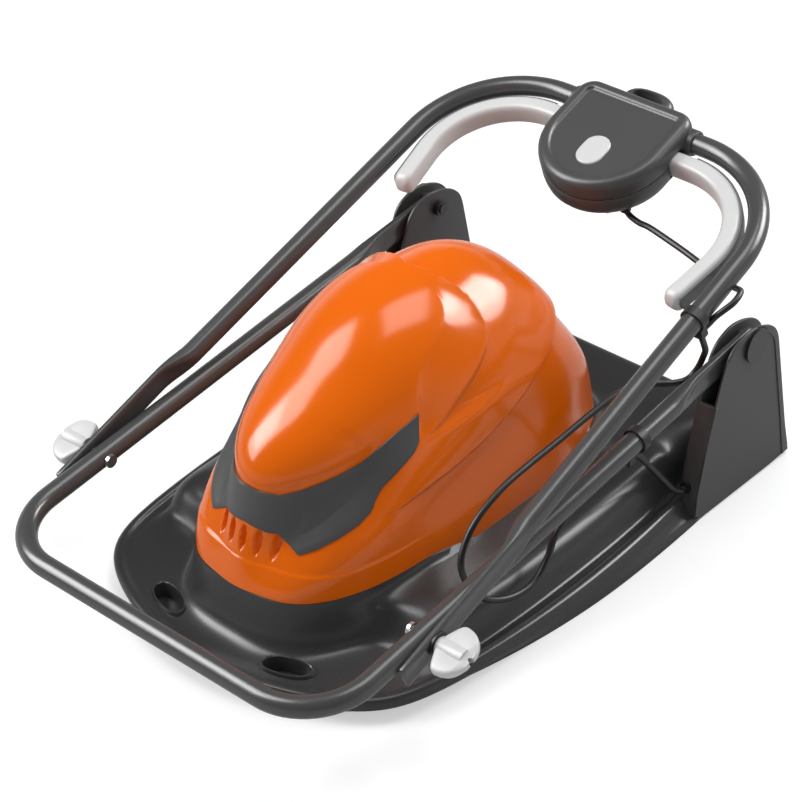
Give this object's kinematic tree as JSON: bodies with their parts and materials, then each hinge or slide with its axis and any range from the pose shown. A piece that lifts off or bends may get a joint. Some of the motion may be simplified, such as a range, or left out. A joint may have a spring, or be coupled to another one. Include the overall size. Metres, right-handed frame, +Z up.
{
  "type": "hover_mower",
  "caption": "Electric hover mower with an orange motor hood, a dark skirted deck and a tubular handle folded flat over it, with levers, a switch box and a black lead.",
  "frame": {"origin": "on the ground under the rotor axis", "axes": "+X to the right seen from the front, -Y to the front of the deck, +Z up along the rotor axis"},
  "size_m": [0.5396, 0.7834, 0.3532],
  "materials": {
    "deck_plastic": "satin",
    "hood_orange": "gloss",
    "trim_grey": "satin",
    "tube_paint": "satin",
    "box_grey": "satin",
    "pale_plastic": "satin",
    "liner_grey": "matte",
    "black_plastic": "matte",
    "cord_black": "matte",
    "zinc_steel": "satin",
    "black_steel": "satin",
    "core_iron": "matte",
    "copper_bars": "satin",
    "carbon": "matte",
    "impeller_orange": "satin",
    "blade_steel": "satin"
  },
  "bodies": {
    "deck": {"deck_shell": "deck_plastic", "ground_rim": "deck_plastic", "left_handle_bracket": "deck_plastic", "right_handle_bracket": "deck_plastic", "motor_hood": "hood_orange", "hood_trim": "trim_grey", "hood_screws": "zinc_steel", "motor_mount_plate": "zinc_steel", "plate_screws": "zinc_steel", "motor_can": "zinc_steel", "stator_core": "core_iron", "upper_end_plate": "zinc_steel", "upper_bearing": "zinc_steel", "lower_bearing": "zinc_steel", "carbon_brushes": "carbon", "terminal_block": "pale_plastic", "deck_gland": "black_plastic", "pivot_bolts": "black_steel", "pivot_nuts": "black_steel", "pivot_bushes": "black_plastic"},
    "lower_handle": {"lower_handle_tube": "tube_paint", "lower_cable_clip": "black_plastic", "fold_bolts": "zinc_steel", "lead_loop": "cord_black", "lead_lower": "cord_black"},
    "upper_handle": {"upper_handle_tube": "tube_paint", "fold_washers": "black_plastic", "switch_box_top": "box_grey", "switch_box_base": "box_grey", "switch_box_screws": "zinc_steel", "switch_block": "black_plastic", "cable_hook": "box_grey", "box_gland": "black_plastic", "upper_cable_clip": "black_plastic", "lever_pins": "zinc_steel", "lead_upper": "cord_black"},
    "left_wing_nut": {"left_wing_nut": "pale_plastic"},
    "right_wing_nut": {"right_wing_nut": "pale_plastic"},
    "left_lever": {"left_lever": "pale_plastic", "left_lever_liner": "liner_grey"},
    "right_lever": {"right_lever": "pale_plastic", "right_lever_liner": "liner_grey"},
    "lock_off_button": {"lock_off_button": "pale_plastic"},
    "rotor": {"motor_shaft": "zinc_steel", "rotor_core": "core_iron", "commutator": "copper_bars", "impeller": "impeller_orange", "blade_spacer": "impeller_orange", "cutting_blade": "blade_steel", "blade_bolt": "zinc_steel"}
  },
  "joints": [
    {"name": "lower_handle_pivot", "type": "hinge", "parent": "deck", "child": "lower_handle", "pos_m": [0, 0.2457, 0.1806], "axis": [-1, 0, 0], "range_deg": [0, 143], "deforming": ["lead_lower"]},
    {"name": "upper_handle_fold", "type": "hinge", "parent": "lower_handle", "child": "upper_handle", "pos_m": [0, -0.26, 0.1105], "axis": [1, 0, 0], "range_deg": [0, 168], "deforming": ["lead_loop"]},
    {"name": "left_wing_nut_turn", "type": "hinge", "parent": "lower_handle", "child": "left_wing_nut", "pos_m": [-0.24, -0.26, 0.1105], "axis": [-1, 0, 0], "range_deg": [0, 360]},
    {"name": "right_wing_nut_turn", "type": "hinge", "parent": "lower_handle", "child": "right_wing_nut", "pos_m": [0.24, -0.26, 0.1105], "axis": [1, 0, 0], "range_deg": [0, 360]},
    {"name": "left_lever_pull", "type": "hinge", "parent": "upper_handle", "child": "left_lever", "pos_m": [-0.046, 0.30307, 0.316], "axis": [0, 0.3428, -0.9394], "range_deg": [0, 2], "stiffness_Nm_per_rad": 3},
    {"name": "right_lever_pull", "type": "hinge", "parent": "upper_handle", "child": "right_lever", "pos_m": [0.046, 0.30307, 0.316], "axis": [0, -0.3428, 0.9394], "range_deg": [0, 2], "stiffness_Nm_per_rad": 3},
    {"name": "lock_off_press", "type": "slide", "parent": "upper_handle", "child": "lock_off_button", "axis": [0, 0.3428, -0.9394], "range_m": [0, 0.004], "stiffness_N_per_m": 300},
    {"name": "rotor_spin", "type": "hinge", "parent": "deck", "child": "rotor", "pos_m": [0, 0, 0], "axis": [0, 0, 1], "continuous": true}
  ],
  "couplings": [
    {"joint": "upper_handle_fold", "follows": "lower_handle_pivot", "ratio": 1.174}
  ]
}
